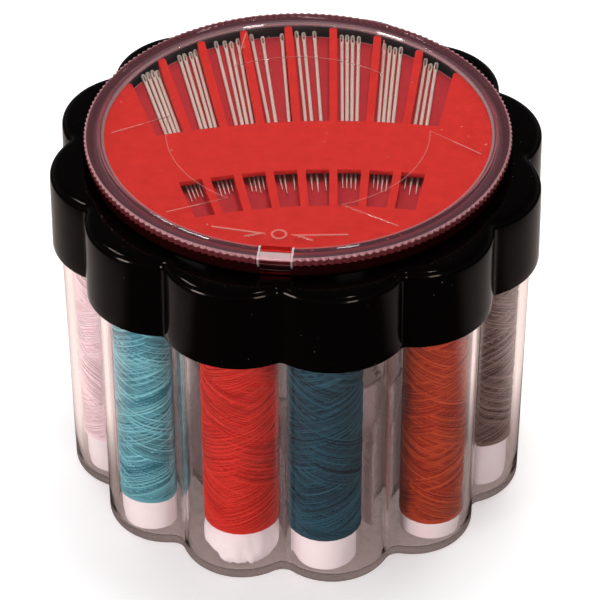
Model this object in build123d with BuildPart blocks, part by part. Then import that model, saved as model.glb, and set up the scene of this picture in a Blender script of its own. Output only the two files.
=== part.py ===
from build123d import *
from math import cos, degrees, radians, sin, sqrt, tan
import os

os.makedirs("parts", exist_ok=True)

# A clear sewing kit tub: twelve lobes with a thread spool in each, a cradle with an
# accessory cup in the middle, a push-on lid, and a needle compact whose clear cover turns.
# Millimetres and degrees. +Z is up, the origin is the middle of the base, and the valley
# between two lobes on -Y is the front.

# ---------------------------------------------------------------- driving dimensions

# Spools, one in each lobe, anticlockwise from above, the first on the left of the front:
# thickness of the winding, bare core below it, and the direction from the lobe's middle in
# which the spool leans on the lobe's wall, from straight outwards.
spools = [
    (0.6, 7.6, 18.0),
    (0.3, 6.4, 2.0),
    (1.2, 8.3, 21.0),
    (0.9, 7.5, -32.0),
    (0.3, 3.6, 16.0),
    (0.7, 9.8, 0.0),
    (0.8, 6.8, -11.0),
    (0.4, 7.4, 7.0),
    (1.0, 5.9, -6.0),
    (0.6, 8.2, 13.0),
    (0.9, 6.6, -17.0),
    (0.5, 7.0, 4.0),
]
core_diameter = 10.8
core_wall = 1.3
bare_top = 1.6
thread_round = 0.7
thread_fit = 0.02
spool_gap = 0.05
spool_headroom = 2.35
spool_clearance = 0.3

tub_height = 60.6
tub_wall = 1.2
tub_floor = 1.8
tub_draft = 0.2
lobe_circle = 31.2
lobe_radius = 11.0
lobe_valley = 2.5
foot_round = 1.6
floor_round = 0.9
tub_rim_round = 0.4

cradle_height = 19.4
cradle_wall = 1.0
cradle_gap = 0.05
pocket_offset = 2.3
pocket_setback = 1.3
fin_setback = 6.4
cup_height = 27.6
cup_rim_round = 0.3

lid_skirt = 15.8
lid_wall = 1.3
lid_plate = 1.5
lid_draft = 1.0
lid_lobe_inset = 1.2
lid_valley = 1.2
lid_edge_round = 1.6
lid_hem_round = 0.3
lid_clearance = 0.15
lid_seat_gap = 0.1
recess_land = 1.8
recess_depth = 4.3
recess_floor = 1.2
recess_wall = 1.2

compact_clearance = 0.3
compact_gap = 0.05
base_clearance = 0.95
flange_height = 1.2

fan_turn = 7.2
fan_pivot = 98.9
rib_pitch = 3.575
rib_width = 1.4
rib_height = 2.3
rib_end_gap = 0.3
plate_clearance = 1.15
plate_thickness = 0.9
plate_wall = 0.8
window_front = -21.4
band_front = -10.9
band_back = 3.5

dial_turn = -1.8
dial_clearance = 0.1
dial_skirt_wall = 1.15
dial_skirt_gap = 0.2
snap_bead = 0.45
snap_height = 0.6
snap_gap = 0.15
cover_gap = 0.15
cover_thickness = 0.8
rim_step = 0.35
rim_width = 1.85
rim_bead = 1.4
rim_bevel = 0.4
ring_drop = 0.25
ridges = 180
ridge_depth = 0.4
knurl_land = 0.1
knurl_height = 1.5
notch_width = 5.2
notch_inset = 0.3
notch_depth = 1.7
notch_cheek = 0.4
notch_bar = 0.6
mark_height = 0.12
mark_line = 0.35
mark_setback = 3.55
circle_mark = 1.35
arrow_gap = 2.9
arrow_length = 8.6
arrow_slope = 7
arrow_barb = 3.0
arrow_barb_slope = 22
sector_height = 0.06
sector_line = 0.25
sector_count = 3
sector_first = -30
sector_radius = 23.0
sector_setback = 1.35
sector_inner_half = 35
sector_outer_half = 23

# Needles of each channel, left to right: how far short of the eye circle they stop, then for
# each needle the side of the channel its eye and its point lie at, from -1 to 1, and how far
# it has slid outwards.
needle_channels = [
    (0.2, [(0.02, -0.36, -0.3), (0.36, 0.1, 0.2), (0.7, 0.55, 0.6), (1.0, 1.0, 0.3)]),
    (0.4, [(-0.08, -0.4, -0.3), (0.26, 0.06, 0.0), (0.68, 0.52, 0.3), (1.0, 0.98, 0.9)]),
    (0.0, [(-0.36, -0.38, 0.2), (0.18, 0.08, 0.1), (0.56, 0.54, -0.3), (1.0, 1.0, 0.5)]),
    (0.0, [(-0.88, -0.5, 0.1), (-0.22, -0.04, -0.9), (0.98, 0.9, -0.2)]),
    (0.0, [(-0.86, -0.62, -0.4), (-0.44, 0.05, -0.9), (0.22, 0.96, -0.5)]),
    (0.1, [(-0.86, -0.7, 0.2), (-0.52, -0.24, 0.2), (-0.18, 0.24, 0.0), (0.2, 0.74, -0.2)]),
    (0.0, [(-0.95, -0.76, 0.6), (-0.58, -0.3, -0.1), (-0.24, 0.2, -0.5), (0.12, 0.7, -0.3)]),
    (0.0, [(-0.98, -0.78, 0.7), (-0.6, -0.1, -0.8), (-0.24, 0.6, -0.3)]),
]
needle_radius = 0.31
needle_head_radius = 0.4
needle_head_length = 3.2
needle_point_length = 7.0
needle_tip_radius = 0.05
needle_front = -14.1
needle_gap = 0.03
eye_clearance = 0.5
eye_length = 1.9
eye_width = 0.3
eye_inset = 0.7


# ---------------------------------------------------------------- sizes worked out

def polar(radius, angle):
    """The point at this radius and angle."""
    return (radius * cos(radians(angle)), radius * sin(radians(angle)))


def valley_reach(circle, radius, valley):
    """How far from the axis the bottom of a valley of the scalloped outline lies."""
    half_pitch = radians(lobe_pitch / 2)
    rise = sqrt((radius + valley) ** 2 - (circle * sin(half_pitch)) ** 2)
    return circle * cos(half_pitch) + rise - valley


lobes = len(spools)
lobe_pitch = 360 / lobes
first_lobe = -90 - 2.5 * lobe_pitch
rim_lobe_radius = lobe_radius + tub_height * tan(radians(tub_draft))
inner_lobe_radius = lobe_radius - tub_wall
inner_valley = lobe_valley + tub_wall

core_radius = core_diameter / 2
spool_base = tub_floor + spool_gap
core_height = tub_height - spool_headroom - spool_base

cradle_base = tub_floor + cradle_gap
pocket_circle = lobe_circle + pocket_offset
pocket_radius = inner_lobe_radius - pocket_setback
fin_reach = valley_reach(lobe_circle, inner_lobe_radius, inner_valley) - fin_setback
cup_radius = pocket_circle - pocket_radius

lid_seat = tub_height + lid_seat_gap
recess_bottom = lid_seat + recess_floor
lid_top = recess_bottom + recess_depth
lid_bottom = lid_top - lid_skirt
lid_lobe_circle = lobe_circle - lid_lobe_inset
lid_lobe_radius = rim_lobe_radius + lid_clearance + lid_wall + lid_lobe_inset
lid_shrink = lid_skirt * tan(radians(lid_draft)) + lid_edge_round
lid_top_valley = valley_reach(lid_lobe_circle, lid_lobe_radius, lid_valley) - lid_shrink
recess_radius = lid_top_valley - recess_land

dial_skirt_radius = recess_radius - compact_clearance
dial_bore = dial_skirt_radius - dial_skirt_wall
base_bottom = recess_bottom + compact_gap
base_height = recess_depth - compact_gap
base_radius = dial_bore - snap_bead - base_clearance
flange_radius = dial_bore - dial_clearance
flange_top = base_bottom + flange_height

channel_floor = base_bottom + base_height
plate_radius = dial_bore - plate_clearance
plate_top = channel_floor + rib_height
half_fan = len(needle_channels) // 2
window_inner = fan_pivot + window_front
rib_start = window_inner - plate_wall
band_inner = fan_pivot + band_front
band_outer = fan_pivot + band_back
needle_point_reach = fan_pivot + needle_front
eye_circle = dial_bore - eye_clearance

cover_bottom = plate_top + cover_gap
cover_top = cover_bottom + cover_thickness
rim_top = cover_top + rim_step
rim_inner = dial_bore - rim_width
rim_outer = rim_inner + rim_bead
ring_top = rim_top - ring_drop
knurl_bottom = rim_top - knurl_height
knurl_root = dial_skirt_radius + knurl_land
knurl_radius = knurl_root + ridge_depth
dial_bottom = recess_bottom + dial_skirt_gap
bead_bottom = flange_top + snap_gap
notch_inner = rim_inner - notch_inset
notch_reach = knurl_radius - notch_inner
notch_block = notch_width + 2 * notch_cheek
mark_radius = rim_inner - mark_setback
sector_outer = rim_inner - sector_setback


# ---------------------------------------------------------------- shared outlines

def lobed(circle, radius, valley):
    """The scalloped outline: a disc joined to a ring of circles, with round valleys."""
    with BuildSketch() as outline:
        Circle(circle)
        with PolarLocations(circle, lobes, first_lobe):
            Circle(radius)
        corners = outline.vertices().sort_by_distance((0, 0))[:lobes]
        fillet(corners, valley)
    return outline.sketch


def fluted(shrink):
    """The cradle's outline: a disc with a round pocket for each spool."""
    with BuildSketch() as outline:
        Circle(fin_reach - shrink)
        with PolarLocations(pocket_circle, lobes, first_lobe):
            Circle(pocket_radius + shrink, mode=Mode.SUBTRACT)
    return outline.sketch


def fan_plane(height):
    """The needle fan's own plane: +Y is its middle line and the origin is its pivot."""
    turned = Plane.XY.offset(height).rotated((0, 0, fan_turn))
    return turned.shift_origin(turned.from_local_coords((0, -fan_pivot, 0)))


def fan_reach(angle, radius):
    """How far out from the pivot a line at this angle meets a circle about the compact."""
    offset = fan_pivot * sin(radians(angle))
    return fan_pivot * cos(radians(angle)) + sqrt(radius**2 - offset**2)


def fan_strip(near, far):
    """The fan's strip between two distances from its pivot, across all the channels."""
    half_angle = half_fan * rib_pitch
    with BuildSketch() as strip:
        with BuildLine():
            near_arc = CenterArc((0, 0), near, 90 - half_angle, 2 * half_angle)
            far_arc = CenterArc((0, 0), far, 90 - half_angle, 2 * half_angle)
            Line(near_arc @ 0, far_arc @ 0)
            Line(near_arc @ 1, far_arc @ 1)
        make_face()
    return strip.sketch


def side_room(reach):
    """How far to the side of its channel's middle a needle can lie, at this reach."""
    return reach * tan(radians(rib_pitch / 2)) - rib_width / 2 - needle_gap - needle_head_radius


# ---------------------------------------------------------------- tub and cradle

with BuildPart() as clear_tub:
    with BuildSketch():
        add(lobed(lobe_circle, lobe_radius, lobe_valley))
    extrude(amount=tub_height, taper=-tub_draft)
    fillet(clear_tub.faces().sort_by(Axis.Z)[0].edges(), foot_round)
    with BuildSketch(Plane.XY.offset(tub_floor)):
        add(lobed(lobe_circle, inner_lobe_radius, inner_valley))
    extrude(amount=tub_height - tub_floor, taper=-tub_draft, mode=Mode.SUBTRACT)
    inner_floor = clear_tub.faces().filter_by(Plane.XY).sort_by(Axis.Z)[1]
    fillet(inner_floor.edges(), floor_round)
    rim = clear_tub.faces().sort_by(Axis.Z)[-1]
    fillet(rim.edges(), min(tub_rim_round, tub_wall / 3))
clear_tub.part.label = "clear_tub"
export_step(clear_tub.part, "parts/clear_tub.step")

with BuildPart() as spool_cradle:
    with BuildSketch(Plane.XY.offset(cradle_base)):
        add(fluted(0))
    extrude(amount=cradle_height)
    with BuildSketch(Plane.XY.offset(cradle_base)):
        add(fluted(cradle_wall))
    extrude(amount=cradle_height - cradle_wall, mode=Mode.SUBTRACT)
    with BuildSketch(Plane.XY.offset(cradle_base)):
        Circle(cup_radius)
    extrude(amount=cup_height)
    with BuildSketch(Plane.XY.offset(cradle_base + cradle_wall)):
        Circle(cup_radius - cradle_wall)
    extrude(amount=cup_height - cradle_wall, mode=Mode.SUBTRACT)
    cup_rim = spool_cradle.faces().sort_by(Axis.Z)[-1]
    fillet(cup_rim.edges(), min(cup_rim_round, cradle_wall / 3))
spool_cradle.part.label = "spool_cradle"
export_step(spool_cradle.part, "parts/spool_cradle.step")

# ---------------------------------------------------------------- lid

with BuildPart() as black_lid:
    with BuildSketch(Plane.XY.offset(lid_bottom)):
        add(lobed(lid_lobe_circle, lid_lobe_radius, lid_valley))
    extrude(amount=lid_skirt, taper=lid_draft)
    fillet(black_lid.faces().sort_by(Axis.Z)[-1].edges(), lid_edge_round)
    with BuildSketch(Plane.XY.offset(lid_bottom)):
        add(lobed(lobe_circle, rim_lobe_radius + lid_clearance, lobe_valley - lid_clearance))
    extrude(amount=lid_skirt - lid_plate, mode=Mode.SUBTRACT)
    hem = black_lid.faces().sort_by(Axis.Z)[0]
    fillet(hem.edges(), min(lid_hem_round, lid_wall / 3))
    with BuildSketch(Plane.XY.offset(lid_seat)):
        Circle(recess_radius + recess_wall)
    extrude(amount=lid_top - lid_plate / 2 - lid_seat)
    with BuildSketch(Plane.XY.offset(recess_bottom)):
        Circle(recess_radius)
    extrude(amount=recess_depth, mode=Mode.SUBTRACT)
black_lid.part.label = "black_lid"
export_step(black_lid.part, "parts/black_lid.step")

# ---------------------------------------------------------------- needle compact

with BuildPart() as compact_base:
    with BuildSketch(Plane.XY.offset(base_bottom)):
        Circle(flange_radius)
    extrude(amount=flange_height)
    with BuildSketch(Plane.XY.offset(base_bottom)):
        Circle(base_radius)
    extrude(amount=base_height)
compact_base.part.label = "compact_base"
export_step(compact_base.part, "parts/compact_base.step")

with BuildPart() as fan_plate:
    with BuildSketch(Plane.XY.offset(plate_top)):
        Circle(plate_radius)
    extrude(amount=-plate_thickness)
    with BuildSketch(Plane.XY.offset(channel_floor)):
        Circle(base_radius)
        Circle(base_radius - plate_wall, mode=Mode.SUBTRACT)
    extrude(amount=rib_height)
    with BuildSketch(fan_plane(channel_floor)):
        add(fan_strip(window_inner, band_inner))
        add(fan_strip(band_outer, fan_pivot + plate_radius + plate_wall))
    extrude(amount=rib_height, mode=Mode.SUBTRACT)
    with BuildSketch(fan_plane(channel_floor)):
        add(fan_strip(window_inner - plate_wall, window_inner + plate_wall / 2))
        with Locations((0, fan_pivot)):
            Circle(base_radius - plate_wall / 2, mode=Mode.INTERSECT)
    extrude(amount=rib_height - plate_thickness / 2)
    with BuildSketch(fan_plane(channel_floor)):
        for step in range(-half_fan, half_fan + 1):
            rib_reach = fan_reach(step * rib_pitch, plate_radius - rib_end_gap) - rib_width / 2
            with Locations(Rotation(0, 0, -step * rib_pitch)):
                with Locations((0, rib_start)):
                    Rectangle(rib_width, rib_reach - rib_start, align=(Align.CENTER, Align.MIN))
                with Locations((0, rib_reach)):
                    Circle(rib_width / 2)
    extrude(amount=rib_height)
fan_plate.part.label = "fan_plate"
export_step(fan_plate.part, "parts/fan_plate.step")


def needle(length):
    """One needle lying along +Y, its point at the origin, its eye upright."""
    neck = length - needle_head_length
    eye_middle = length - eye_inset - eye_length / 2
    crown = length - needle_head_radius
    with BuildPart() as blank:
        with BuildSketch():
            with BuildLine():
                Polyline(
                    (0, 0),
                    (needle_tip_radius, 0),
                    (needle_radius, needle_point_length),
                    (needle_radius, neck),
                    (needle_head_radius, eye_middle),
                    (needle_head_radius, crown),
                )
                RadiusArc((needle_head_radius, crown), (0, length), -needle_head_radius)
                Line((0, length), (0, 0))
            make_face()
        revolve(axis=Axis.Y)
        with BuildSketch(Plane.XY.offset(-needle_head_radius)):
            with Locations((0, eye_middle)):
                SlotOverall(eye_length, eye_width, rotation=90)
        extrude(amount=2 * needle_head_radius, mode=Mode.SUBTRACT)
    return blank.part


for channel, (spare, rows) in enumerate(needle_channels):
    middle = (channel + 0.5 - half_fan) * rib_pitch
    eye_reach = fan_reach(middle, eye_circle)
    limits = []
    for eye_side, point_side, slide in rows:
        eye_angle = middle + degrees(eye_side * side_room(eye_reach) / eye_reach)
        limits.append(fan_reach(eye_angle, eye_circle) - needle_point_reach - slide)
    length = min(limits) - spare
    needle_plane = fan_plane(channel_floor + needle_gap + needle_head_radius)
    with BuildPart() as needles:
        for eye_side, point_side, slide in rows:
            point_reach = needle_point_reach + slide
            point_x = point_side * side_room(point_reach)
            eye_x = eye_side * side_room(point_reach + length)
            lean = degrees((eye_x - point_x) / length)
            channel_place = needle_plane.location * Rotation(0, 0, -middle)
            with Locations(channel_place * Pos(point_x, point_reach) * Rotation(0, 0, -lean)):
                add(needle(length))
    needles.part.label = f"needles_{channel + 1}"
    export_step(needles.part, f"parts/needles_{channel + 1}.step")

with BuildPart() as dial_cover:
    with BuildSketch(Plane.XZ):
        with BuildLine():
            Polyline(
                (0, cover_bottom),
                (dial_bore, cover_bottom),
                (dial_bore, bead_bottom + snap_height),
                (dial_bore - snap_bead, bead_bottom + snap_height / 2),
                (dial_bore - snap_bead, bead_bottom),
                (dial_bore, bead_bottom),
                (dial_bore, dial_bottom),
                (dial_skirt_radius, dial_bottom),
                (dial_skirt_radius, ring_top),
                (rim_outer, ring_top),
                (rim_outer - rim_bevel, rim_top),
                (rim_inner + rim_bevel, rim_top),
                (rim_inner, cover_top),
                (0, cover_top),
                close=True,
            )
        make_face()
    revolve(axis=Axis.Z)
    with BuildSketch(Plane.XY.offset(knurl_bottom)):
        with BuildLine():
            ridge_points = []
            for ridge in range(ridges):
                ridge_points.append(polar(knurl_root, 360 * ridge / ridges))
                ridge_points.append(polar(knurl_radius, 360 * (ridge + 0.5) / ridges))
            Polyline(ridge_points, close=True)
        make_face()
        Circle(dial_skirt_radius - dial_skirt_wall / 2, mode=Mode.SUBTRACT)
    extrude(amount=knurl_height)
    front = Plane.XY.rotated((0, 0, dial_turn))
    with BuildSketch(front.offset(knurl_bottom)):
        Circle(knurl_radius)
        Circle(dial_bore, mode=Mode.SUBTRACT)
        with Locations((0, -dial_bore)):
            Rectangle(notch_block, dial_bore, align=(Align.CENTER, Align.MAX), mode=Mode.INTERSECT)
    extrude(amount=knurl_height)
    with BuildSketch(front.offset(cover_bottom)):
        with Locations((0, -notch_inner)):
            Rectangle(notch_width, notch_depth, align=(Align.CENTER, Align.MAX))
    extrude(amount=rim_top - cover_bottom, mode=Mode.SUBTRACT)
    with BuildSketch(front.offset(channel_floor)):
        with Locations((0, -notch_inner)):
            Rectangle(notch_width, 2 * notch_reach, align=(Align.CENTER, Align.MAX))
    extrude(amount=rim_top - notch_bar - channel_floor, mode=Mode.SUBTRACT)
    with BuildSketch(front.offset(cover_top)):
        with Locations((0, -mark_radius)):
            Circle(circle_mark)
            Circle(circle_mark - mark_line, mode=Mode.SUBTRACT)
        for side in (-1, 1):
            with BuildLine() as arrow:
                tip = (side * arrow_gap, -mark_radius)
                PolarLine(tip, arrow_length, 90 - side * (90 - arrow_slope))
                PolarLine(tip, arrow_barb, -90 + side * (90 - arrow_barb_slope))
            trace(arrow.line, mark_line)
    extrude(amount=mark_height)
    with BuildSketch(front.offset(cover_top)):
        for sector in range(sector_count):
            centre = sector_first + sector * 360 / sector_count
            first = centre - sector_inner_half
            with BuildLine() as border:
                arc = CenterArc((0, 0), sector_radius, first, 2 * sector_inner_half)
                Line(arc @ 0, polar(sector_outer, centre - sector_outer_half))
                Line(arc @ 1, polar(sector_outer, centre + sector_outer_half))
            trace(border.line, sector_line)
    extrude(amount=sector_height)
dial_cover.part.label = "dial_cover"
export_step(dial_cover.part, "parts/dial_cover.step")

# ---------------------------------------------------------------- spools

for index, (winding, bare_end, lean) in enumerate(spools):
    number = f"{index + 1:02d}"
    thread_radius = core_radius + winding
    play = inner_lobe_radius - spool_clearance - thread_radius
    outwards = first_lobe + index * lobe_pitch
    lobe_x, lobe_y = polar(lobe_circle, outwards)
    lean_x, lean_y = polar(play, outwards + lean)
    stand = (lobe_x + lean_x, lobe_y + lean_y)
    thread_height = core_height - bare_end - bare_top

    with BuildPart() as spool_core:
        with BuildSketch(Plane.XY.offset(spool_base)):
            with Locations(stand):
                Circle(core_radius)
                Circle(core_radius - core_wall, mode=Mode.SUBTRACT)
        extrude(amount=core_height)
    spool_core.part.label = f"spool_core_{number}"
    export_step(spool_core.part, f"parts/spool_core_{number}.step")

    with BuildPart() as thread:
        with BuildSketch(Plane.XY.offset(spool_base + bare_end)):
            with Locations(stand):
                Circle(thread_radius)
        extrude(amount=thread_height)
        fillet(thread.edges(), min(thread_round, winding / 2))
        with BuildSketch(Plane.XY.offset(spool_base + bare_end)):
            with Locations(stand):
                Circle(core_radius + thread_fit)
        extrude(amount=thread_height, mode=Mode.SUBTRACT)
    thread.part.label = f"thread_{number}"
    export_step(thread.part, f"parts/thread_{number}.step")
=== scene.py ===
"""A clear sewing kit tub: scalloped tub, thread spools, black lid and needle compact."""

import math

import bmesh
import bpy
import numpy as np
from mathutils import Matrix, Vector


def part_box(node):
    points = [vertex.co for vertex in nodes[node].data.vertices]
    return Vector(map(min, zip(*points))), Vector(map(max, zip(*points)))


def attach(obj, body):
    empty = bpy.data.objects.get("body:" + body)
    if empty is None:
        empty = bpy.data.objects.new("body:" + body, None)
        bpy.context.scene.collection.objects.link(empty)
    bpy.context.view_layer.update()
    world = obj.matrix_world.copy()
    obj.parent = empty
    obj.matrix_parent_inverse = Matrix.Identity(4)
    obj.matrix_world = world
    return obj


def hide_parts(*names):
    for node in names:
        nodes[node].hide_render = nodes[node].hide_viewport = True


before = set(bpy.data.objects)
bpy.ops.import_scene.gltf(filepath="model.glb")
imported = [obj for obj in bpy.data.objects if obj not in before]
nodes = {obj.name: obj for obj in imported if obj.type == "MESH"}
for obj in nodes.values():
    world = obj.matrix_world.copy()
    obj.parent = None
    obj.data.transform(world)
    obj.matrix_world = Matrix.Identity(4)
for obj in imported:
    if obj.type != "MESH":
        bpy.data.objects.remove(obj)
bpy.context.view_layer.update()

MM = 0.001
TURN = 2 * math.pi
scene = bpy.context.scene


# ---------------------------------------------------------------- camera

FRAME_WIDTH = 600
FOCAL_LENGTH = 2833.707
SENSOR = 36
DISTANCE = 516.498


def make_camera():
    """A long lens about half a metre off, a little to the right of the front valley.

    FOCAL_LENGTH and FRAME_WIDTH are in the same points; the distances are in millimetres.
    """
    azimuth, elevation, roll = (math.radians(angle) for angle in (4.3, 38.4773, -0.2374))
    target = Vector((-0.0899, 0, 31.757)) * MM
    back = Vector((0, -math.cos(elevation), math.sin(elevation)))
    right = Vector((1, 0, 0))
    up = right.cross(-back)
    side = math.cos(roll) * right + math.sin(roll) * up
    top = -math.sin(roll) * right + math.cos(roll) * up
    around = Matrix.Rotation(azimuth, 4, "Z")
    pose = Matrix((side, top, back)).transposed().to_4x4()
    pose.translation = target + back * DISTANCE * MM
    lens = bpy.data.cameras.new("camera")
    lens.sensor_width = SENSOR
    lens.lens = SENSOR * FOCAL_LENGTH / FRAME_WIDTH
    lens.shift_x = 0.00314
    lens.clip_start, lens.clip_end = 0.01, 20
    camera = bpy.data.objects.new("camera", lens)
    scene.collection.objects.link(camera)
    camera.matrix_world = around @ pose
    scene.camera = camera


make_camera()


# ---------------------------------------------------------------- shader tools

class Wire:
    """A value that changes over a surface: arithmetic on it adds Math nodes."""

    def __init__(self, wiring, socket):
        self.wiring = wiring
        self.socket = socket

    def _math(self, operation, first, second):
        made = self.wiring.node("ShaderNodeMath", {"operation": operation}, {0: first, 1: second})
        return Wire(self.wiring, made.outputs[0])

    def __add__(self, other):
        return self._math("ADD", self, other)

    def __sub__(self, other):
        return self._math("SUBTRACT", self, other)

    def __rsub__(self, other):
        return self._math("SUBTRACT", other, self)

    def __mul__(self, other):
        return self._math("MULTIPLY", self, other)

    def __pow__(self, other):
        return self._math("POWER", self, other)

    def __abs__(self):
        return self._math("ABSOLUTE", self, 0)

    __radd__ = __add__
    __rmul__ = __mul__


class Wiring:
    """A node tree being wired."""

    def __init__(self, tree):
        self.tree = tree

    def set(self, node, values):
        """Give a node's sockets these values or links."""
        for key, value in values.items():
            socket = node.inputs[key.replace("_", " ") if isinstance(key, str) else key]
            if isinstance(value, Wire):
                value = value.socket
            if isinstance(value, bpy.types.NodeSocket):
                self.tree.links.new(value, socket)
            elif socket.type == "RGBA" and len(value) == 3:
                socket.default_value = (*value, 1)
            else:
                socket.default_value = value

    def node(self, kind, settings=None, values=None):
        """A node of this type, its settings made first, then its sockets' values or links."""
        made = self.tree.nodes.new(kind)
        for key, value in (settings or {}).items():
            setattr(made, key, value)
        self.set(made, values or {})
        return made

    def rays(self):
        """1 for the camera's rays, for gloss and for what is seen through, each else 0."""
        path = self.node("ShaderNodeLightPath").outputs
        return [Wire(self, path[f"Is {kind} Ray"]) for kind in ("Camera", "Glossy", "Transmission")]

    def ramp(self, factor, low, high):
        """0 below low, 1 above high, and smooth between them."""
        settings = {"interpolation_type": "SMOOTHSTEP"}
        values = {"Value": factor, "From Min": low, "From Max": high}
        return Wire(self, self.node("ShaderNodeMapRange", settings, values).outputs[0])

    def band(self, factor, rise, fall):
        """Up from 0 to 1 over the first pair of numbers, and down to 0 over the second."""
        return self.ramp(factor, *rise) * (1 - self.ramp(factor, *fall))

    def mix(self, factor, first, second):
        """A blend of two colours."""
        made = self.node("ShaderNodeMix", {"data_type": "RGBA"}, {0: factor, 6: first, 7: second})
        return made.outputs[2]


class Finish(Wiring):
    """A material being built: a Principled shader and the nodes that feed it."""

    def __init__(self, name, **settings):
        self.material = bpy.data.materials.new(name)
        self.material.use_nodes = True
        super().__init__(self.material.node_tree)
        self.shader = self.tree.nodes["Principled BSDF"]
        self.output = self.tree.nodes["Material Output"]
        self.set(self.shader, settings)

    def place(self, stretch=(1, 1, 1), turn=0.0):
        """Object coordinates in millimetres, each axis stretched, then turned about the axis."""
        where = self.node("ShaderNodeTexCoord").outputs["Object"]
        scale = tuple(share / MM for share in stretch)
        values = {"Vector": where, "Scale": scale, "Rotation": (0, 0, turn)}
        return self.node("ShaderNodeMapping", {}, values).outputs[0]

    def where(self):
        """Distance from the object's axis and height, in millimetres."""
        across = self.place((1, 1, 0))
        flat = self.node("ShaderNodeVectorMath", {"operation": "LENGTH"}, {0: across})
        height = self.node("ShaderNodeSeparateXYZ", {}, {0: self.place()}).outputs["Z"]
        return Wire(self, flat.outputs["Value"]), Wire(self, height)

    def sides(self, turn=0.0):
        """Distances to the right of the front's middle line, and forwards of the axis."""
        across = self.node("ShaderNodeSeparateXYZ", {}, {0: self.place(turn=turn)}).outputs
        return Wire(self, across["X"]), 0 - Wire(self, across["Y"])

    def noise(self, scale, detail=3.0, rough=0.55, stretch=(1, 1, 1)):
        """Cloudy noise with about this many features to a millimetre."""
        place = self.place(stretch)
        values = {"Vector": place, "Scale": scale, "Detail": detail, "Roughness": rough}
        return Wire(self, self.node("ShaderNodeTexNoise", {}, values).outputs[0])

    def attribute(self, name):
        """A number stored on the mesh's points."""
        made = self.node("ShaderNodeAttribute", {"attribute_name": name})
        return Wire(self, made.outputs["Fac"])

    def bump(self, height, depth):
        """A normal from a height of this depth in millimetres."""
        values = {"Height": height, "Distance": depth * MM, "Strength": 1.0}
        return self.node("ShaderNodeBump", {}, values).outputs[0]

    def blend(self, factor, first, second):
        """Make the surface a mix of two shaders."""
        made = self.node("ShaderNodeMixShader", {}, {0: factor, 1: first, 2: second})
        self.tree.links.new(made.outputs[0], self.output.inputs["Surface"])

    def frost(self, factor, colour):
        """Make the surface this colour and matt by this share."""
        surface = self.output.inputs["Surface"].links[0].from_socket
        matt = self.node("ShaderNodeBsdfDiffuse", {}, {"Color": colour}).outputs[0]
        self.blend(factor, surface, matt)


# ---------------------------------------------------------------- sizes, in millimetres

LOBES = 12
FIRST_LOBE = math.radians(-165)
LOBE_CIRCLE = 31.2
TUB_LOBE, TUB_VALLEY = 11.0, 2.5
TUB_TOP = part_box("clear_tub")[1][2] / MM
TUB_WALL, TUB_FLOOR = 1.2, 1.8
TUB_DRAFT = math.tan(math.radians(0.2))
FOOT_ROUND, FLOOR_ROUND, RIM_ROUND = 1.6, 0.9, 0.4

LID_CIRCLE, LID_LOBE, LID_VALLEY = 30.0, 13.8615, 1.2
LID_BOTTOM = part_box("black_lid")[0][2] / MM
LID_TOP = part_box("black_lid")[1][2] / MM
LID_DRAFT = math.tan(math.radians(1.0))
LID_ROUND, LID_HEM, LID_PLATE = 1.6, 0.3, 1.5
CAVITY_LOBE, CAVITY_VALLEY = 11.3615, 2.35
RECESS_RADIUS, RECESS_WALL, RECESS_FLOOR, RECESS_DEPTH = 37.008, 1.2, 1.2, 4.3
RECESS_ROUND = 0.35

CRADLE_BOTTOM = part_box("spool_cradle")[0][2] / MM
CRADLE_HEIGHT, CRADLE_WALL = 19.4, 1.0
POCKET_CIRCLE, POCKET_RADIUS = 33.5, 8.5
FIN_ROUND, FIN_HOLLOW_ROUND = 0.37, 0.15
CUP_RADIUS = POCKET_CIRCLE - POCKET_RADIUS
CUP_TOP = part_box("spool_cradle")[1][2] / MM
CRADLE_ROUND = 0.25

CORE_RADIUS, CORE_WALL = 5.4, 1.3

PLATE_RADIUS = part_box("fan_plate")[1][0] / MM
PLATE_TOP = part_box("fan_plate")[1][2] / MM
BASE_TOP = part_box("compact_base")[1][2] / MM
RIM_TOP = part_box("dial_cover")[1][2] / MM
RIM_STEP, RIM_WIDTH, KNURL_DEPTH = 0.35, 3.5, 0.4
COVER_TOP = RIM_TOP - RIM_STEP
KNURL_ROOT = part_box("dial_cover")[1][0] / MM - KNURL_DEPTH
RIM_INNER = KNURL_ROOT + KNURL_DEPTH - RIM_WIDTH
NOTCH_HALF = 2.6
DIAL_BORE = KNURL_ROOT - 1.25
DIAL_TURN = math.radians(-1.8)


# ---------------------------------------------------------------- finishes

def clear_plastic(name, tint, shade, rough, absorbed, gloss=0.3):
    """Clear moulding: refracting, darker where it is thick, and open to the lamps' light.

    Light falls off as exp(-k d) over a depth d; absorbed is k for each colour, per millimetre.
    """
    made = Finish(name, Base_Color=tint, Roughness=rough, IOR=1.49, Transmission_Weight=1.0)
    made.set(made.shader, {"Specular_IOR_Level": gloss})
    path = made.node("ShaderNodeLightPath").outputs
    lit = Wire(made, path["Is Shadow Ray"]) + Wire(made, path["Is Diffuse Ray"])
    through = made.node("ShaderNodeBsdfTransparent", {}, {"Color": shade}).outputs[0]
    made.blend(lit, made.shader.outputs[0], through)
    density = max(absorbed) / MM
    colour = tuple(1 - k / max(absorbed) for k in absorbed)
    depth = made.node("ShaderNodeVolumeAbsorption", {}, {"Color": colour, "Density": density})
    made.tree.links.new(depth.outputs[0], made.output.inputs["Volume"])
    return made


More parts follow.
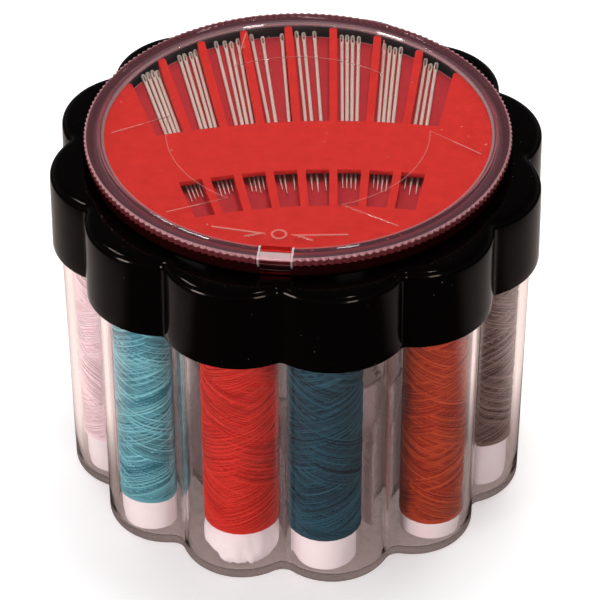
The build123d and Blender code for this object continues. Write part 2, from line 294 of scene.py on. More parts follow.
def tub_finish():
    """The tub's plastic: wavy and faintly rubbed, with painted light laid on in pale streaks in the
    valleys, away from the crests.
    """
    made = clear_plastic(
        "clear_tub_plastic", (1, 0.985, 0.985), (0.95, 0.92, 0.92), 0.02, (0.022, 0.038, 0.04),
    )
    flow = made.noise(0.12, detail=2, stretch=(1, 1, 0.12))
    rubbed = made.ramp(made.noise(1.4, detail=5, rough=0.65), 0.52, 0.8)
    made.set(made.shader, {
        "Roughness": 0.015 + rubbed * 0.09,
        "Normal": made.bump(flow, 0.05),
    })
    # Painted light: pale matt streaks in the valleys, away from the lobes' crests, stand in for
    # light caught in the valley walls.
    valley_light_streaks = made.ramp(made.noise(0.55, detail=3, rough=0.6, stretch=(1, 1, 0.03)), 0.42, 0.68)
    crest = made.ramp(made.where()[0], LOBE_CIRCLE + 5.0, LOBE_CIRCLE + 7.2)
    made.frost((1 - crest) * (0.02 + valley_light_streaks * 0.2), (0.85, 0.75, 0.75))
    return made


def cradle_finish():
    """The cradle's plastic, cloudier than the tub's."""
    made = clear_plastic(
        "clear_cradle_plastic", (0.99, 0.97, 0.97), (0.95, 0.92, 0.92), 0.12, (0.02, 0.035, 0.035),
    )
    cloud = made.noise(0.3, detail=3)
    made.set(made.shader, {"Roughness": 0.1 + cloud * 0.1})
    made.frost(0.2 + cloud * 0.16, (0.88, 0.75, 0.75))
    return made


def cover_finish():
    """The cover's clear disc, faint raised marks and a smoky rim, with painted highlights on the
    rim's inner edge, the notch's cheeks and bar and the knurl's rosy crest, painted shade on the
    knurl's face and the skirt, and a painted reflection on the bore wall.

    The bead inside the rim is crowned: its height is 0.56 (1 - |x|^1.3), x from -1 to 1 across it.
    """
    made = clear_plastic(
        "clear_cover_plastic", (1, 0.99, 0.99), (0.97, 0.96, 0.96), 0.02, (0.01, 0.015, 0.015), 0.5,
    )
    radius, height = made.where()
    side, front = made.sides(-DIAL_TURN)
    aside = abs(side)
    notch = 1 - made.ramp(aside, NOTCH_HALF - 0.1, NOTCH_HALF)
    rim = made.ramp(radius, RIM_INNER - 0.1, RIM_INNER + 0.3)
    skirt = 1 - made.ramp(height, RIM_TOP - 1.7, RIM_TOP - 1.45)

    rubbed = made.ramp(made.noise(1.1, detail=5, rough=0.65), 0.5, 0.8)
    crown = 1 - abs((radius - RIM_INNER - 0.7) * 1.43) ** 1.3
    bead = (crown + abs(crown)) * 0.28 * made.ramp(height, RIM_TOP - 0.45, RIM_TOP - 0.4)
    tint = made.mix(rim, (1, 0.99, 0.99), (0.66, 0.52, 0.55))
    made.set(made.shader, {
        # Painted shade: the skirt below the knurl is coloured near black.
        "Base_Color": made.mix(skirt, tint, (0.05, 0.006, 0.006)),
        "Roughness": 0.01 + rubbed * 0.03 + rim * 0.05,
        "Normal": made.bump(bead, 1.0),
    })
    made.frost(rim * (1 - skirt) * 0.2, (0.36, 0.13, 0.16))

    raised = made.ramp(height, COVER_TOP + 0.02, COVER_TOP + 0.04) * (1 - rim)
    signs = made.ramp(radius, 26.5, 27.5)
    specks = made.ramp(made.noise(0.9, detail=1), 0.795, 0.82)
    marked = raised * (0.22 + signs * 0.26) + specks * 0.5 * (1 - rim)
    made.frost(marked, (0.85, 0.34, 0.29))

    # Painted highlight: a pale matt line along the rim's inner edge.
    inner_edge = (RIM_INNER + 0.05, RIM_INNER + 0.2), (RIM_INNER + 0.4, RIM_INNER + 0.6)
    bright = made.band(radius, *inner_edge) * (1 - skirt)
    # Painted highlight: the notch's sides are frosted pale as lit cheeks.
    notch_side = (NOTCH_HALF - 0.02, NOTCH_HALF + 0.05), (NOTCH_HALF + 0.3, NOTCH_HALF + 0.4)
    notch_cheek_highlight = made.band(aside, *notch_side) * made.ramp(front, RIM_INNER - 0.4, RIM_INNER - 0.2)
    notch_cheek_highlight = notch_cheek_highlight * made.ramp(height, RIM_TOP - 2.5, RIM_TOP - 2.0)
    made.frost(bright * 0.12 + notch_cheek_highlight * 0.55, (0.92, 0.82, 0.84))

    # Painted reflection: the bore wall below the cover is frosted grey.
    bore_wall = (DIAL_BORE - 0.1, DIAL_BORE - 0.05), (DIAL_BORE + 0.05, DIAL_BORE + 0.1)
    below = 1 - made.ramp(height, COVER_TOP - 0.9, COVER_TOP - 0.8)
    made.frost(made.band(radius, *bore_wall) * below * 0.5, (0.2, 0.16, 0.17))

    cut_edge = (RIM_INNER - 0.35, RIM_INNER - 0.31), (RIM_INNER - 0.29, RIM_INNER - 0.25)
    sill = notch * made.band(front, *cut_edge)
    sill = sill * (1 - made.ramp(height, COVER_TOP - 0.05, COVER_TOP))
    made.frost(sill * 0.9, (0.50, 0.016, 0.012))

    # Painted highlight: the clear bar across the notch is frosted pale.
    notch_bar_highlight = notch * made.ramp(front, RIM_INNER + 1.3, RIM_INNER + 1.4)
    notch_bar_highlight = notch_bar_highlight * made.ramp(height, RIM_TOP - 0.3, RIM_TOP - 0.2)
    made.frost(notch_bar_highlight * 0.75, (0.66, 0.50, 0.51))

    # Painted shade and highlight: below its crest the knurl's face is frosted dark red as shade,
    # and its crest pale rose as a highlight.
    knurl = made.ramp(radius, KNURL_ROOT - 0.1, KNURL_ROOT + 0.1) * (1 - skirt)
    crest = made.ramp(height, RIM_TOP - 0.6, RIM_TOP - 0.35)
    made.frost(knurl * (1 - crest) * 0.7, (0.08, 0.003, 0.003))
    made.frost(knurl * crest * 0.5, (0.66, 0.34, 0.36))
    # Painted shade: the skirt's outer face below the knurl is frosted near black.
    outside = made.ramp(radius, KNURL_ROOT - 0.3, KNURL_ROOT - 0.2)
    made.frost(outside * skirt * 0.8, (0.010, 0.001, 0.001))
    return made


def red_finish(name, top, dull, bright):
    """Moulded red plastic, faintly mottled and grained, whose outer wall darkens downwards with
    painted shade and whose base carries a painted highlight along its top edge.
    """
    made = Finish(name, Roughness=0.5, Specular_IOR_Level=0.08)
    radius, height = made.where()
    # Painted shade: the outer wall and all below the base's top are coloured near black, darkest at
    # the bottom.
    outer = made.ramp(radius, PLATE_RADIUS - 0.9, PLATE_RADIUS - 0.8)
    outer = outer * (1 - made.ramp(height, top - 0.1, top))
    wall = 1 - (1 - outer) * made.ramp(height, BASE_TOP - 0.3, BASE_TOP - 0.2)
    # Painted highlight: a pale line along the base's top edge.
    edge = made.ramp(radius, PLATE_RADIUS - 0.45, PLATE_RADIUS - 0.35) * (1 - wall)
    edge = edge * (1 - made.ramp(height, BASE_TOP + 0.05, BASE_TOP + 0.1))
    mottle = made.noise(0.35, detail=5, rough=0.6)
    grain = made.noise(3.0, detail=3, rough=0.6)
    dust = made.ramp(made.noise(1.3, detail=1), 0.77, 0.8)
    red = made.mix(mottle * 1.3 + grain * 0.6 - 0.45, dull, bright)
    red = made.mix(dust * 0.3, red, (0.8, 0.6, 0.55))
    red = made.mix(edge * 0.6, red, (0.75, 0.5, 0.5))
    raised = made.ramp(height, PLATE_TOP - 4.2, PLATE_TOP - 0.8)
    deep = made.mix(raised, (0.02, 0.012, 0.014), (0.10, 0.006, 0.006))
    made.set(made.shader, {
        "Base_Color": made.mix(wall, red, deep),
        "Roughness": 0.42 + mottle * 0.16,
        "Normal": made.bump(grain, 0.02),
    })
    return made


def black_finish():
    """Glossy black plastic with hairline rubbing and a little dust."""
    made = Finish("black_lid_plastic", Specular_IOR_Level=0.08, Specular_Tint=(1, 0.78, 0.68))
    rubbed = made.ramp(made.noise(0.8, detail=6, rough=0.7), 0.45, 0.8)
    dust = made.ramp(made.noise(1.7, detail=1), 0.79, 0.81)
    made.set(made.shader, {
        "Base_Color": made.mix(dust * 0.25, (0.0008, 0.0005, 0.0005), (0.25, 0.23, 0.21)),
        "Roughness": 0.1 + rubbed * 0.16,
        "Normal": made.bump(made.noise(0.1, detail=1), 0.05),
    })
    return made


def steel_finish():
    """Nickelled needle steel, duller in faint patches and at the stamped eyes."""
    made = Finish("needle_steel", Metallic=0.3)
    dull = made.noise(0.6, detail=4, rough=0.65)
    radius = made.where()[0]
    eye = made.ramp(radius, PLATE_RADIUS - 4.5, PLATE_RADIUS - 3)
    made.set(made.shader, {
        "Base_Color": made.mix(dull, (0.90, 0.81, 0.69), (1.0, 0.95, 0.85)),
        "Roughness": 0.27 + dull * 0.08 + eye * 0.12,
    })
    return made


def paper_finish():
    """Pressed white paper: soft fibres, a faint cloudy tint and a matt surface."""
    made = Finish("core_paper", Specular_IOR_Level=0.2)
    cloud = made.noise(0.25, detail=3)
    fibre = made.noise(2.4, detail=4, rough=0.7, stretch=(1, 1, 0.5))
    made.set(made.shader, {
        "Base_Color": made.mix(cloud * 0.7 + fibre * 0.3, (0.84, 0.75, 0.76), (0.93, 0.88, 0.89)),
        "Roughness": 0.7 + fibre * 0.2,
        "Normal": made.bump(fibre, 0.04),
    })
    return made


tub_plastic = tub_finish()
cradle_plastic = cradle_finish()
black_plastic = black_finish()
steel = steel_finish()
paper = paper_finish()


def dress(name, finish):
    """Give a carried-over node this finish in place of its own."""
    mesh = nodes[name].data
    mesh.materials.clear()
    mesh.materials.append(finish.material)


def soften(name, width):
    """Round a carried-over node's sharp edges by this width in millimetres."""
    weld = nodes[name].modifiers.new("weld", "WELD")
    weld.merge_threshold = 0.002 * MM
    bevel = nodes[name].modifiers.new("soft_edges", "BEVEL")
    bevel.width = width * MM
    bevel.segments = 2
    bevel.limit_method = "ANGLE"
    bevel.angle_limit = math.radians(35)
    bevel.use_clamp_overlap = True


# ---------------------------------------------------------------- surfaces

def scallop(circle, radius, valley, lobe_steps=34, valley_steps=10):
    """The scalloped outline as complex points and outward normals, anticlockwise.

    A lobe is an arc of this radius about a point on the circle. A valley is a hollow arc about
    a point outside, half a pitch h on, at the distance where its centre is radius + valley from
    the lobe's: D = c cos h + sqrt((r + v)^2 - (c sin h)^2). The arcs meet on the line that joins
    their centres. With both radii negative the lobes are pockets and the valleys round tips.
    """
    half = math.pi / LOBES
    rise = math.sqrt((radius + valley) ** 2 - (circle * math.sin(half)) ** 2)
    hollow = (circle * math.cos(half) + math.copysign(rise, radius)) * np.exp(1j * half)
    swing = np.angle((hollow - circle) * math.copysign(1, radius))
    lobe = np.exp(1j * np.linspace(-swing, swing, lobe_steps, endpoint=False))
    dip = np.exp(1j * np.linspace(swing, 2 * half - swing, valley_steps, endpoint=False))
    foot = np.concatenate([circle + radius * lobe, hollow - valley * dip])
    normal = np.concatenate([lobe, dip])
    turns = np.exp(1j * (FIRST_LOBE + TURN / LOBES * np.arange(LOBES)))[:, None]
    return (turns * foot).ravel(), (turns * normal).ravel()


def level(flat, height):
    """Complex points at these heights, as rows of (x, y, z)."""
    flat, height = np.broadcast_arrays(flat, height)
    return np.stack([flat.real, flat.imag, height], axis=-1)


def corner(inset, height, radius, start, end, steps=6):
    """Pairs (inset - r cos a, height + r sin a): a is 0 outermost and 90 degrees on top."""
    angle = np.radians(np.linspace(start, end, steps + 1))
    return np.stack([inset - radius * np.cos(angle), height + radius * np.sin(angle)], axis=-1)


def run(start, end, steps):
    """Evenly spaced pairs strictly between two (inset, height) pairs."""
    share = np.linspace(0, 1, steps + 2)[1:-1, None]
    return (1 - share) * np.array(start) + share * np.array(end)


def carried(outline, profile, draft=0.0, foot_height=0.0):
    """Rows foot - inset * normal, the inset less by draft for each millimetre above the foot."""
    foot, normal = outline
    inset, height = np.asarray(profile, float).T[:, :, None]
    return level(foot - (inset - draft * (height - foot_height)) * normal, height)


def shrunk(row, shares):
    """Copies of a row scaled towards the axis by each share, at its own height."""
    scaled = row[None] * np.array([1, 1, 0]) * np.asarray(shares, float)[:, None, None]
    return scaled + row * np.array([0, 0, 1])


def round_rows(row, pairs):
    """Rings of these (radius, height) pairs, each point at the same bearing as the row's."""
    bearing = row[:, 0] + 1j * row[:, 1]
    radius, height = np.asarray(pairs, float).T[:, :, None]
    return level(radius * bearing / np.abs(bearing), height)


def quads(rows, columns, start):
    """Faces of a grid whose columns close round, its points numbered row by row from start."""
    row = np.arange(rows - 1)[:, None] * columns
    here = np.arange(columns)[None, :]
    after = (here + 1) % columns
    corners = (row + here, row + after, row + columns + after, row + columns + here)
    return start + np.stack([corner.ravel() for corner in corners], axis=-1)


def make_piece(name, grids, finish, body, *replaced, tones=None):
    """A closed smooth mesh from grids of points in millimetres, riding on a body."""
    points, faces, count = [], [], 0
    for grid in grids:
        rows, columns = grid.shape[:2]
        points.append(grid.reshape(-1, 3))
        faces.append(quads(rows, columns, count))
        count += rows * columns
    mesh = bpy.data.meshes.new(name)
    mesh.from_pydata(np.concatenate(points) * MM, [], np.concatenate(faces))
    if tones is not None:
        tone = mesh.attributes.new("tone", "FLOAT", "POINT")
        values = np.concatenate([shade.ravel() for shade in tones])
        tone.data.foreach_set("value", values.astype(np.float32))
    work = bmesh.new()
    work.from_mesh(mesh)
    bmesh.ops.remove_doubles(work, verts=work.verts, dist=0.0005 * MM)
    bmesh.ops.recalc_face_normals(work, faces=work.faces)
    work.to_mesh(mesh)
    work.free()
    mesh.polygons.foreach_set("use_smooth", np.ones(len(mesh.polygons), bool))
    mesh.materials.append(finish.material)
    piece = bpy.data.objects.new(name, mesh)
    scene.collection.objects.link(piece)
    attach(piece, body)
    if replaced:
        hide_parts(*replaced)
    return piece


# ---------------------------------------------------------------- tub

def make_tub():
    """The scalloped outline carried up the outer wall, over the rim and down the inner wall."""
    outline = scallop(LOBE_CIRCLE, TUB_LOBE, TUB_VALLEY)
    outer = np.concatenate([
        corner(FOOT_ROUND, FOOT_ROUND, FOOT_ROUND, -90, 0, 10),
        run((0, FOOT_ROUND), (0, TUB_TOP - RIM_ROUND), 14),
        corner(RIM_ROUND, TUB_TOP - RIM_ROUND, RIM_ROUND, 0, 90, 5),
    ])
    deep = TUB_WALL + FLOOR_ROUND
    inner = np.concatenate([
        corner(TUB_WALL - RIM_ROUND, TUB_TOP - RIM_ROUND, RIM_ROUND, 90, 180, 5),
        run((TUB_WALL, TUB_TOP - RIM_ROUND), (TUB_WALL, TUB_FLOOR + FLOOR_ROUND), 14),
        corner(deep, TUB_FLOOR + FLOOR_ROUND, FLOOR_ROUND, 0, -90, 6),
    ])
    outside = carried(outline, outer, TUB_DRAFT)
    inside = carried(outline, inner, TUB_DRAFT, TUB_FLOOR)
    shares = np.linspace(0, 1, 10)[:-1]
    underside = shrunk(outside[0], shares)
    floor = shrunk(inside[-1], shares[::-1])
    shell = np.concatenate([underside, outside, inside, floor])
    make_piece("clear_tub_shell", [shell], tub_plastic, "tub", "clear_tub")


# ---------------------------------------------------------------- cradle

def make_cradle():
    """The fluted outline carried up to a deck, with a cup in the middle and hollows in the fins.

    A hollow's roof stands at bottom + height * s, where s rises smoothly from 0 to 1 as the
    space between the cup's wall and the fin's wall opens.
    """
    outline = scallop(POCKET_CIRCLE, -POCKET_RADIUS, -FIN_ROUND)
    within = scallop(POCKET_CIRCLE, -POCKET_RADIUS - CRADLE_WALL, -FIN_HOLLOW_ROUND)[0]
    bearing = within / np.abs(within)
    space = np.maximum(np.abs(within) - CUP_RADIUS, 0)
    opened = np.clip(space / 0.4, 0, 1)
    roof = CRADLE_BOTTOM + (CRADLE_HEIGHT - CRADLE_WALL) * opened ** 2 * (3 - 2 * opened)
    cup_foot = level(CUP_RADIUS * bearing, CRADLE_BOTTOM)
    hollow = np.stack([
        cup_foot,
        level(CUP_RADIUS * bearing, roof),
        level((CUP_RADIUS + space) * bearing, roof),
        level((CUP_RADIUS + space) * bearing, CRADLE_BOTTOM),
    ])
    deck = CRADLE_BOTTOM + CRADLE_HEIGHT
    profile = np.concatenate([
        corner(CRADLE_ROUND, CRADLE_BOTTOM + CRADLE_ROUND, CRADLE_ROUND, -90, 0, 3),
        run((0, CRADLE_BOTTOM + CRADLE_ROUND), (0, deck - CRADLE_ROUND), 5),
        corner(CRADLE_ROUND, deck - CRADLE_ROUND, CRADLE_ROUND, 0, 90, 3),
    ])
    flutes = carried(outline, profile)
    reach = np.linalg.norm(flutes[..., :2], axis=-1, keepdims=True)
    flutes[..., :2] *= np.maximum(1, CUP_RADIUS / reach)
    inner = CUP_RADIUS - CRADLE_WALL
    rim = CRADLE_ROUND
    bowl = CRADLE_BOTTOM + CRADLE_WALL
    cup = np.concatenate([
        [(CUP_RADIUS, deck), (CUP_RADIUS, CUP_TOP - rim)],
        corner(-CUP_RADIUS + rim, CUP_TOP - rim, rim, 0, 90, 3) * (-1, 1),
        corner(-inner - rim, CUP_TOP - rim, rim, 90, 180, 3) * (-1, 1),
        corner(-inner + 3 * rim, bowl + 3 * rim, 3 * rim, 0, -90, 5) * (-1, 1),
    ])
    cup_rows = round_rows(flutes[-1], cup)
    shares = np.linspace(0, 1, 6)[:-1]
    solid = np.concatenate([
        shrunk(cup_foot, shares), hollow, flutes, cup_rows, shrunk(cup_rows[-1], shares[::-1]),
    ])
    make_piece("spool_cradle_shell", [solid], cradle_plastic, "tub", "spool_cradle")


# ---------------------------------------------------------------- lid

def make_lid():
    """The lid's outline carried up its drafted skirt, over the land and into the round recess."""
    outline = scallop(LID_CIRCLE, LID_LOBE, LID_VALLEY)
    cavity = scallop(LOBE_CIRCLE, CAVITY_LOBE, CAVITY_VALLEY)
    shoulder = (LID_TOP - LID_BOTTOM) * LID_DRAFT + LID_ROUND
    skirt = np.concatenate([
        corner(LID_HEM, LID_BOTTOM + LID_HEM, LID_HEM, -90, 0, 4),
        run((0, LID_BOTTOM + LID_HEM), (0, LID_TOP - LID_ROUND), 6),
    ])
    skirt[:, 0] += (skirt[:, 1] - LID_BOTTOM) * LID_DRAFT
    edge = corner(shoulder, LID_TOP - LID_ROUND, LID_ROUND, 0, 90, 9)
    outside = carried(outline, np.concatenate([skirt, edge]))
    floor = LID_TOP - RECESS_DEPTH
    bend = RECESS_ROUND
    recess = round_rows(outside[-1], np.concatenate([
        corner(-RECESS_RADIUS - bend, LID_TOP - bend, bend, 90, 180, 4) * (-1, 1),
        [(RECESS_RADIUS, floor)],
    ]))
    roof = LID_TOP - LID_PLATE
    hem = LID_HEM
    throat = np.concatenate([
        [(0, roof), (0, LID_BOTTOM + hem)],
        corner(-hem, LID_BOTTOM + hem, hem, 180, 270, 3),
    ])
    inside = carried(cavity, throat)
    well = RECESS_RADIUS + RECESS_WALL
    under = round_rows(inside[0], [(well, floor - RECESS_FLOOR), (well, roof)])
    shares = np.linspace(0, 1, 5)[:-1]
    shell = np.concatenate([
        shrunk(under[0], shares), under, inside, outside, recess, shrunk(recess[-1], shares[::-1]),
    ])
    lid = make_piece("black_lid_shell", [shell], black_plastic, "lid", "black_lid")
    split = lid.modifiers.new("crisp_edges", "EDGE_SPLIT")
    split.split_angle = math.radians(50)


# ---------------------------------------------------------------- spools

THREAD_COLOURS = {
    1: ("pink", (1.0, 0.79, 0.83)),
    2: ("turquoise", (0.027, 0.32, 0.40)),
    3: ("red", (0.62, 0.008, 0.003)),
    4: ("dark_teal", (0.003, 0.035, 0.06)),
    5: ("rust", (0.41, 0.014, 0.001)),
    6: ("taupe", (0.15, 0.075, 0.058)),
    7: ("yellow", (0.75, 0.48, 0.05)),
    8: ("apricot", (0.75, 0.24, 0.08)),
    9: ("white", (0.80, 0.77, 0.74)),
    10: ("purple", (0.22, 0.05, 0.28)),
    11: ("green", (0.03, 0.25, 0.07)),
    12: ("navy", (0.01, 0.025, 0.16)),
}
CONTRAST = {1: 1.0, 2: 2.2, 3: 1.2, 4: 1.1, 5: 1.5, 6: 1.6}
USUAL_CONTRAST = 1.4
STRAYS = {2: 50, 3: 4, 4: 6, 5: 12, 6: 30}
USUAL_STRAYS = 8
CROSSING = math.radians(24)
THREAD = 0.115  # a strand's radius
STRAND_SIDES, TURN_STEPS = 4, 26


def thread_finish(name, colour, contrast):
    """Matt spun thread: its fibres and soft patches vary the tone that each strand carries.

    The light and dark tones are the colour to the powers 1 - 0.28 k and 1 + 0.3 k.
    """
    made = Finish(name, Roughness=0.85, Specular_IOR_Level=0.12, IOR=1.45)
    fibres = made.noise(4.0, detail=4, rough=0.7, stretch=(1, 1, 2))
    patches = made.noise(0.25, detail=2)
    tone = made.attribute("tone") * 0.7 + fibres * 0.3 + patches * 0.2 - 0.1
    light = tuple(c ** max(0.3, 1 - 0.28 * contrast) for c in colour)
    dark = tuple(0.9 * c ** (1 + 0.3 * contrast) for c in colour)
    pale = tuple(0.6 * c + 0.3 for c in light)
    spun = made.mix(made.ramp(tone, 1.0, 1.6) * 0.3, made.mix(tone, dark, light), pale)
    made.set(made.shader, {"Base_Color": spun, "Normal": made.bump(fibres, 0.05)})
    return made


def strands(stand, start, turns, foot, rise, radius, thick):
    """Closed threads along helices about a spool's axis, one to each row of the arrays.

    At share s a thread is at angle start + TURN * turns * s, height foot + rise * s and this
    radius, with a round section of radius thick that falls to 0 at both ends.
    """
    turns = np.atleast_1d(np.asarray(turns, float))
    count = int(np.max(np.abs(turns)) * TURN_STEPS) + 1
    share = np.linspace(0, 1, count)
    angle = np.reshape(start, (-1, 1)) + TURN * turns[:, None] * share
    height = np.reshape(foot, (-1, 1)) + np.reshape(rise, (-1, 1)) * share
    around = np.linspace(0, TURN, STRAND_SIDES, endpoint=False)
    taper = np.sqrt(np.clip(np.minimum(share, 1 - share) * count / 2, 0, 1))
    slim = thick * taper[None, :, None]
    reach = np.broadcast_to(radius, angle.shape)[..., None] + slim * np.cos(around)
    flat = stand + reach * np.exp(1j * angle)[..., None]
    return level(flat, height[..., None] + slim * np.sin(around))


def crossed(stand, radius, low, high, seed):
    """Two families of threads that climb and fall at about the crossing angle a.

    A family has 2 pi r sin(a) / pitch threads, and each makes (high - low) / (2 pi r tan(a))
    turns. At angle t and height z its radius is r + depth * f, and the other's r - depth * f,
    with f = clip(1.6 sin(2 t + z / 4 + p) + 1.6 sin(t - z / 3 + q), -1, 1), so that each
    family lies over the other in patches.
    """
    pitch, depth = 2.3 * THREAD, 0.1
    girth = TURN * radius
    family = round(girth * math.sin(CROSSING) / pitch)
    count = 2 * family
    climb = np.where(np.arange(count) < family, 1.0, -1.0)
    turns = (high - low) / (girth * math.tan(CROSSING)) * climb * seed.uniform(0.93, 1.07, count)
    start = TURN * (np.arange(count) % family) / family + seed.normal(0, 0.03, count)
    share = np.linspace(0, 1, int(np.max(np.abs(turns)) * TURN_STEPS) + 1)
    angle = start[:, None] + TURN * turns[:, None] * share
    height = low + (high - low) * share
    p, q = seed.uniform(0, TURN, 2)
    patch = 1.6 * np.sin(2 * angle + height / 4 + p) + 1.6 * np.sin(angle - height / 3 + q)
    over = np.clip(patch, -1, 1) * climb[:, None]
    made = strands(stand, start, turns, low, high - low, radius - depth + depth * over, THREAD)
    tone = seed.choice([0.0, 0.45, 0.6, 1.15], (count, 1), p=[0.2, 0.3, 0.3, 0.2])
    tone = tone + 0.15 * np.sin(TURN * seed.uniform(3, 6, (count, 1)) * share + 40 * tone)
    return made, np.broadcast_to(tone[..., None], made.shape[:3])


def make_spool(number):
    """Thread wound on a core: a backing, crossed threads, level end turns and stray strands."""
    tag = f"{number:02d}"
    name, colour = THREAD_COLOURS[number]
    low, high = (np.array(c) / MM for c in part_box(f"thread_{tag}"))
    stand = complex(*((low + high) / 2)[:2])
    outer = (high[0] - low[0]) / 2
    bottom, top = low[2], high[2]
    seed = np.random.default_rng(number)
    backing = outer - 3.0 * THREAD
    inner = CORE_RADIUS + 0.01
    ring = np.exp(1j * np.linspace(0, TURN, 64, endpoint=False))
    tube = round_rows(level(ring, 0.0), [
        (inner, bottom), (backing - 0.05, bottom), (backing, bottom + 0.1),
        (backing, top - 0.1), (backing - 0.05, top), (inner, top), (inner, bottom),
    ]) + [stand.real, stand.imag, 0]
    layer, tones = crossed(stand, outer - THREAD, bottom + 1.2 * THREAD, top - 1.2 * THREAD, seed)
    ends = 5
    stack = 1.6 * ends * THREAD
    foot = np.array([bottom + THREAD, top - THREAD - stack])
    level_turns = strands(stand, [0, 2], [ends] * 2, foot, stack, outer - THREAD, THREAD)
    strays = STRAYS.get(number, USUAL_STRAYS)
    length = seed.uniform(0.2, 0.5, strays)
    lean = np.where(np.arange(strays) % 2, 1, -1)
    rise = 16.0 * length * seed.uniform(0.7, 1.1, strays) * lean
    foot = seed.uniform(bottom + 14, top - 14, strays) - 0.5 * rise
    start = seed.uniform(0, TURN, strays)
    stray = strands(stand, start, length, foot, rise, outer - 0.8 * THREAD, 0.8 * THREAD)
    grids = [tube, *layer, *level_turns, *stray]
    shades = [np.full(tube.shape[:2], 0.1), *tones]
    shades += [np.full(turn.shape[:2], 0.5) for turn in level_turns]
    stray_tones = seed.uniform(0.9, 1.9, strays)
    shades += [np.full(strand.shape[:2], tone) for strand, tone in zip(stray, stray_tones)]
    contrast = CONTRAST.get(number, USUAL_CONTRAST)
    finish = thread_finish(f"{name}_thread", colour, contrast)
    winding = make_piece(
        f"thread_{tag}_winding", grids, finish, f"spool_{tag}", f"thread_{tag}", tones=shades,
    )


def make_torn_core():
    """The third core, whose bare end has burst: it swells, and its lower edge is torn.

    With s the share of the way down the bare end, b the bearing of the tear and B the bulge
    sin(pi s^1.15)^0.9, the radius at angle a is r + 1.6 B (0.78 + 0.22 cos(a - b)) - 0.1 s^2
    and small waves, held to 0.1 outside the winding. The torn edge steps up by 1.3 where
    cos(a - b) passes from 0.69 to 0.79, and smaller sharp waves roughen it.
    """
    low, high = (np.array(c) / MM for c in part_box("spool_core_03"))
    stand = ((low + high) / 2)[:2]
    least, most = (np.array(c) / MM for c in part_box("thread_03"))
    bare = least[2]
    wound = (most[0] - least[0]) / 2
    angle = np.linspace(0, TURN, 120, endpoint=False)
    tear = math.radians(195)
    torn = np.clip((np.cos(angle - tear) - 0.69) / 0.1, 0, 1)
    ragged = 1.3 * torn ** 2 * (3 - 2 * torn) + 0.35 * np.maximum(np.sin(5 * angle + 2.6), 0)
    ragged = ragged + 0.3 * np.maximum(np.sin(13 * angle), 0) ** 4
    ragged = ragged + 0.2 * np.maximum(np.sin(29 * angle + 2), 0) ** 2
    share = np.linspace(0, 1, 17)[:, None]
    bulge = np.sin(math.pi * share ** 1.15) ** 0.9
    swell = 1.6 * bulge * (0.78 + 0.22 * np.cos(angle - tear)) - 0.1 * share ** 2
    crease = 0.16 * bulge * np.sin(7 * angle + 4 * share)
    crease = crease + 0.08 * share * np.sin(17 * angle - 3 * share)
    outer = np.minimum(CORE_RADIUS + swell + crease, wound + 0.1)
    start = bare - 0.2
    height = start - share * (start - low[2] - ragged)
    wall = CORE_WALL - 0.6 * share
    ring = np.exp(1j * angle)
    top = high[2]
    shaft = level(np.array([[CORE_RADIUS - 0.15], [CORE_RADIUS], [CORE_RADIUS]]) * ring,
                  np.array([[top], [top - 0.15], [bare]]))
    skin = level(outer * ring, height)
    lining = level((outer - wall) * ring, height)[::-1]
    bore = level(np.array([[CORE_RADIUS - CORE_WALL]] * 2) * ring, np.array([[bare], [top]]))
    grid = np.concatenate([shaft, skin, lining, bore, shaft[:1]]) + [*stand, 0]
    core = make_piece("spool_core_03_torn", [grid], paper, "spool_03", "spool_core_03")


make_tub()
make_cradle()
make_lid()
make_torn_core()
for number in THREAD_COLOURS:
    make_spool(number)
    dress(f"spool_core_{number:02d}", paper)
for channel in range(1, 9):
    dress(f"needles_{channel}", steel)
floor_reds = (0.46, 0.032, 0.04), (0.60, 0.044, 0.052)
card_reds = (0.62, 0.022, 0.017), (0.86, 0.040, 0.030)
dress("compact_base", red_finish("red_floor_plastic", BASE_TOP, *floor_reds))
dress("fan_plate", red_finish("red_card_plastic", PLATE_TOP - 0.9, *card_reds))
dress("dial_cover", cover_finish())
soften("fan_plate", 0.12)
soften("dial_cover", 0.06)
soften("compact_base", 0.1)


# ---------------------------------------------------------------- floor and light

def make_floor():
    """A wide pale floor that reads white near and far and keeps the soft shadow.

    Seen through the plastic it is dimmer, with a painted glow that brightens it under the tub and
    away to the sides and back; in gloss it is dark, with a warm painted glow near the tub's sides.
    """
    size = 3.0
    corners = [(-size, -size, 0), (size, -size, 0), (size, size, 0), (-size, size, 0)]
    mesh = bpy.data.meshes.new("floor")
    mesh.from_pydata(corners, [], [(0, 1, 2, 3)])
    floor = bpy.data.objects.new("floor", mesh)
    scene.collection.objects.link(floor)
    finish = Finish("floor_paper", Roughness=0.9, Specular_IOR_Level=0.1)
    camera, glossy, transmission = finish.rays()
    seen = finish.mix(camera, (0.8, 0.8, 0.8), (0.92, 0.92, 0.92))
    seen = finish.mix(glossy, seen, (0.06, 0.045, 0.038))
    seen = finish.mix(transmission, seen, (0.33, 0.265, 0.25))
    finish.set(finish.shader, {"Base_Color": seen})
    side, front = finish.sides()
    reach = finish.where()[0]
    # Painted light: for what is seen through the plastic the floor glows under the tub and away
    # from it, and in gloss it glows warm near the tub's sides.
    away = finish.ramp(abs(side) * 0.72 - side * 0.12 - front * 0.5, 24, 52)
    near = away * (1 - finish.ramp(reach, 120, 170))
    under = 1 - finish.ramp(reach, 42, 56)
    far = finish.ramp(reach, 150, 500)
    strength = camera * (0.34 + far * 0.45)
    strength = strength + transmission * (0.07 + under * 0.14 + away * 0.75)
    strength = strength + glossy * near * 0.58
    tint = finish.mix(glossy, (1, 1, 1), (1, 0.87, 0.82))
    glow = finish.node("ShaderNodeEmission", {}, {"Color": finish.mix(strength, (0, 0, 0), tint)})
    both = finish.node("ShaderNodeAddShader", {}, {0: finish.shader.outputs[0], 1: glow.outputs[0]})
    finish.tree.links.new(both.outputs[0], finish.output.inputs["Surface"])
    mesh.materials.append(finish.material)


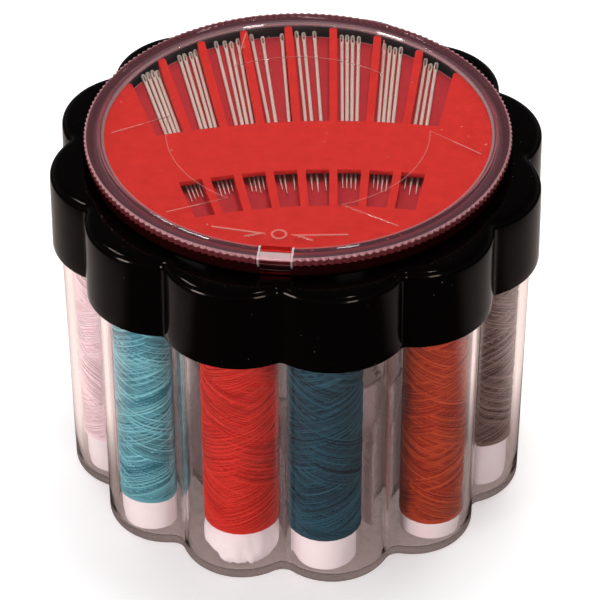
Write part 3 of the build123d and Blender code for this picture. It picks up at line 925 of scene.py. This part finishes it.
def make_world():
    """Pale surroundings: white where seen, dimmer overhead in gloss, and soft as light.

    The sweep falls smoothly from 1 near the horizon to 0 overhead, with the direction's Z.
    """
    world = bpy.data.worlds.new("studio")
    scene.world = world
    world.use_nodes = True
    sky = Wiring(world.node_tree)
    camera, glossy, transmission = sky.rays()
    towards = sky.node("ShaderNodeTexCoord").outputs["Generated"]
    rise = sky.node("ShaderNodeSeparateXYZ", {}, {0: towards}).outputs["Z"]
    sweep = 1 - sky.ramp(rise, 0.25, 0.55)
    strength = camera + (1 - camera) * 0.36
    strength = strength + transmission * (sweep * 0.5 - 0.26)
    strength = strength + glossy * (sweep * 0.1 - 0.26)
    colour = sky.mix(strength, (0, 0, 0), (1, 1, 1))
    sky.set(sky.tree.nodes["Background"], {"Color": colour, "Strength": 1.0})


def make_lamp(name, place, aim, size, power, gloss=True, light=True):
    """A soft rectangular lamp at a place in metres, facing the aim, for gloss, light or both."""
    panel = bpy.data.lights.new(name, "AREA")
    panel.shape = "RECTANGLE"
    panel.size, panel.size_y = size
    panel.energy = power
    lamp = bpy.data.objects.new(name, panel)
    scene.collection.objects.link(lamp)
    lamp.location = place
    lamp.rotation_euler = (Vector(aim) - Vector(place)).to_track_quat("-Z", "Y").to_euler()
    lamp.visible_glossy = lamp.visible_transmission = gloss
    lamp.visible_diffuse = light


make_floor()
make_world()
make_lamp("top_softbox", (0.1, 0.16, 0.9), (0, 0, 0.03), (0.25, 0.25), 2.9, gloss=False)
make_lamp("back_softbox", (-0.2, 0.5, 0.82), (0, 0, 0.05), (0.6, 0.35), 2.7, gloss=False)
make_lamp("left_softbox", (-0.7, -0.6, 0.13), (0, 0, 0.03), (0.25, 0.22), 6.3)
make_lamp("right_softbox", (0.45, -0.8, 0.13), (0, 0, 0.03), (0.2, 0.22), 3.0)
make_lamp("rim_glint", (-0.62, -0.05, 0.76), (0, 0, 0.06), (0.3, 0.12), 3.0, light=False)
make_lamp("lid_glint", (0.28, -0.36, 0.8), (0, 0, 0.06), (0.08, 0.06), 0.9, light=False)

scene.view_settings.view_transform = "Standard"
